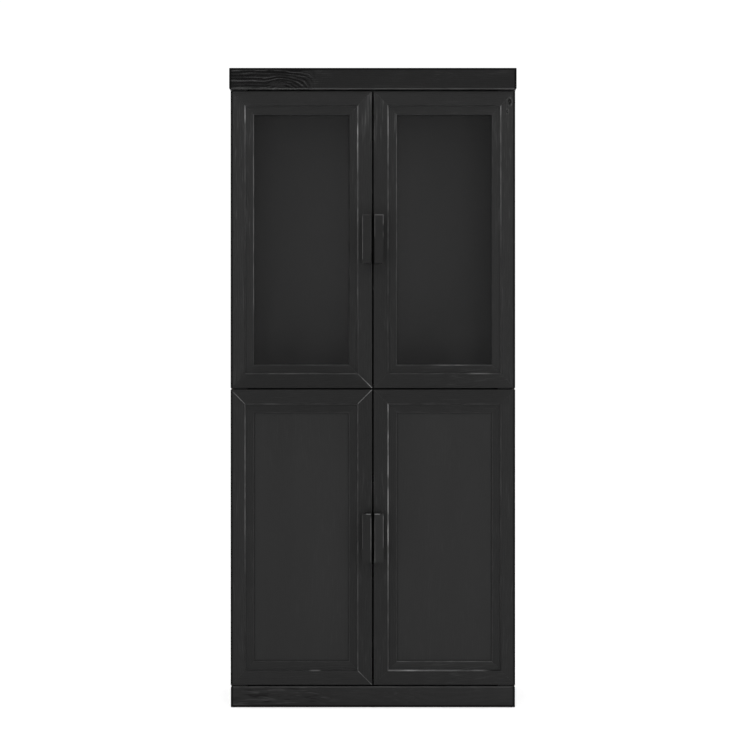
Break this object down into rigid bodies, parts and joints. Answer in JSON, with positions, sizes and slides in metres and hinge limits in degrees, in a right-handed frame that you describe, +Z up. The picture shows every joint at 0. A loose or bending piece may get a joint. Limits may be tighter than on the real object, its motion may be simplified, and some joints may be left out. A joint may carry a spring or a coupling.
{
  "type": "pantry cabinet",
  "caption": "Tall free-standing pantry cabinet with glazed upper doors and panelled lower doors, flat bar pulls, a thick top slab and a plinth base.",
  "frame": {"origin": "middle of the whole's bounding box, on the floor", "axes": "+Z up; -Y is the front, where the doors and handles are; +X is the right side as seen from the front"},
  "size_m": [0.912, 0.477, 2.032],
  "materials": {
    "upright_wood": "dark charcoal stain, satin lacquer",
    "level_wood": "dark charcoal stain, satin lacquer",
    "depth_wood": "dark charcoal stain, satin lacquer",
    "side_wood": "dark charcoal stain, satin lacquer",
    "moulding_wood": "dark charcoal stain, satin lacquer",
    "panel_wood": "dark charcoal stain, satin lacquer",
    "inner_wood": "dark stain, matt lacquer",
    "back_board": "dark thin board, matt",
    "door_glass": "smoked, polished",
    "shelf_glass": "clear, polished edges",
    "handle_metal": "black powder coat, satin",
    "plate_metal": "black, satin",
    "pin_steel": "zinc plated",
    "screw_steel": "zinc plated",
    "bush_brass": "turned",
    "catch_plastic": "moulded, matt",
    "glide_nylon": "moulded, matt"
  },
  "bodies": {
    "case": {"side_panel_left": "side_wood", "side_panel_right": "side_wood", "case_top": "inner_wood", "case_bottom": "inner_wood", "fixed_shelf": "inner_wood", "back_panel": "back_board", "wall_rail": "inner_wood", "cornice_front": "level_wood", "cornice_left": "depth_wood", "cornice_right": "depth_wood", "top_board": "level_wood", "plinth_front": "level_wood", "plinth_left": "depth_wood", "plinth_right": "depth_wood", "plinth_back": "inner_wood", "floor_glides": "glide_nylon", "glass_shelves": "shelf_glass", "wood_shelves": "inner_wood", "shelf_pins": "pin_steel", "pivot_plates": "plate_metal", "pivot_pins": "pin_steel", "magnet_catches": "catch_plastic"},
    "upper_left_door": {"upper_left_hinge_stile": "upright_wood", "upper_left_meeting_stile": "upright_wood", "upper_left_rails": "level_wood", "upper_left_moulding": "moulding_wood", "upper_left_glass": "door_glass", "upper_left_glass_beads": "inner_wood", "upper_left_handle": "handle_metal", "upper_left_handle_screws": "screw_steel", "upper_left_pivot_bushes": "bush_brass", "upper_left_strike": "screw_steel"},
    "upper_right_door": {"upper_right_hinge_stile": "upright_wood", "upper_right_meeting_stile": "upright_wood", "upper_right_rails": "level_wood", "upper_right_moulding": "moulding_wood", "upper_right_glass": "door_glass", "upper_right_glass_beads": "inner_wood", "upper_right_handle": "handle_metal", "upper_right_handle_screws": "screw_steel", "upper_right_pivot_bushes": "bush_brass", "upper_right_strike": "screw_steel"},
    "lower_left_door": {"lower_left_hinge_stile": "upright_wood", "lower_left_meeting_stile": "upright_wood", "lower_left_rails": "level_wood", "lower_left_moulding": "moulding_wood", "lower_left_panel": "panel_wood", "lower_left_handle": "handle_metal", "lower_left_handle_screws": "screw_steel", "lower_left_pivot_bushes": "bush_brass", "lower_left_strike": "screw_steel"},
    "lower_right_door": {"lower_right_hinge_stile": "upright_wood", "lower_right_meeting_stile": "upright_wood", "lower_right_rails": "level_wood", "lower_right_moulding": "moulding_wood", "lower_right_panel": "panel_wood", "lower_right_handle": "handle_metal", "lower_right_handle_screws": "screw_steel", "lower_right_pivot_bushes": "bush_brass", "lower_right_strike": "screw_steel"}
  },
  "joints": [
    {"name": "upper_left_door_hinge", "type": "hinge", "parent": "case", "child": "upper_left_door", "pos_m": [-0.4455, -0.1955, 1.488], "axis": [0, 0, -1], "range_deg": [0, 110]},
    {"name": "upper_right_door_hinge", "type": "hinge", "parent": "case", "child": "upper_right_door", "pos_m": [0.4455, -0.1955, 1.488], "axis": [0, 0, 1], "range_deg": [0, 110]},
    {"name": "lower_left_door_hinge", "type": "hinge", "parent": "case", "child": "lower_left_door", "pos_m": [-0.4455, -0.1955, 0.5415], "axis": [0, 0, -1], "range_deg": [0, 110]},
    {"name": "lower_right_door_hinge", "type": "hinge", "parent": "case", "child": "lower_right_door", "pos_m": [0.4455, -0.1955, 0.5415], "axis": [0, 0, 1], "range_deg": [0, 110]}
  ]
}
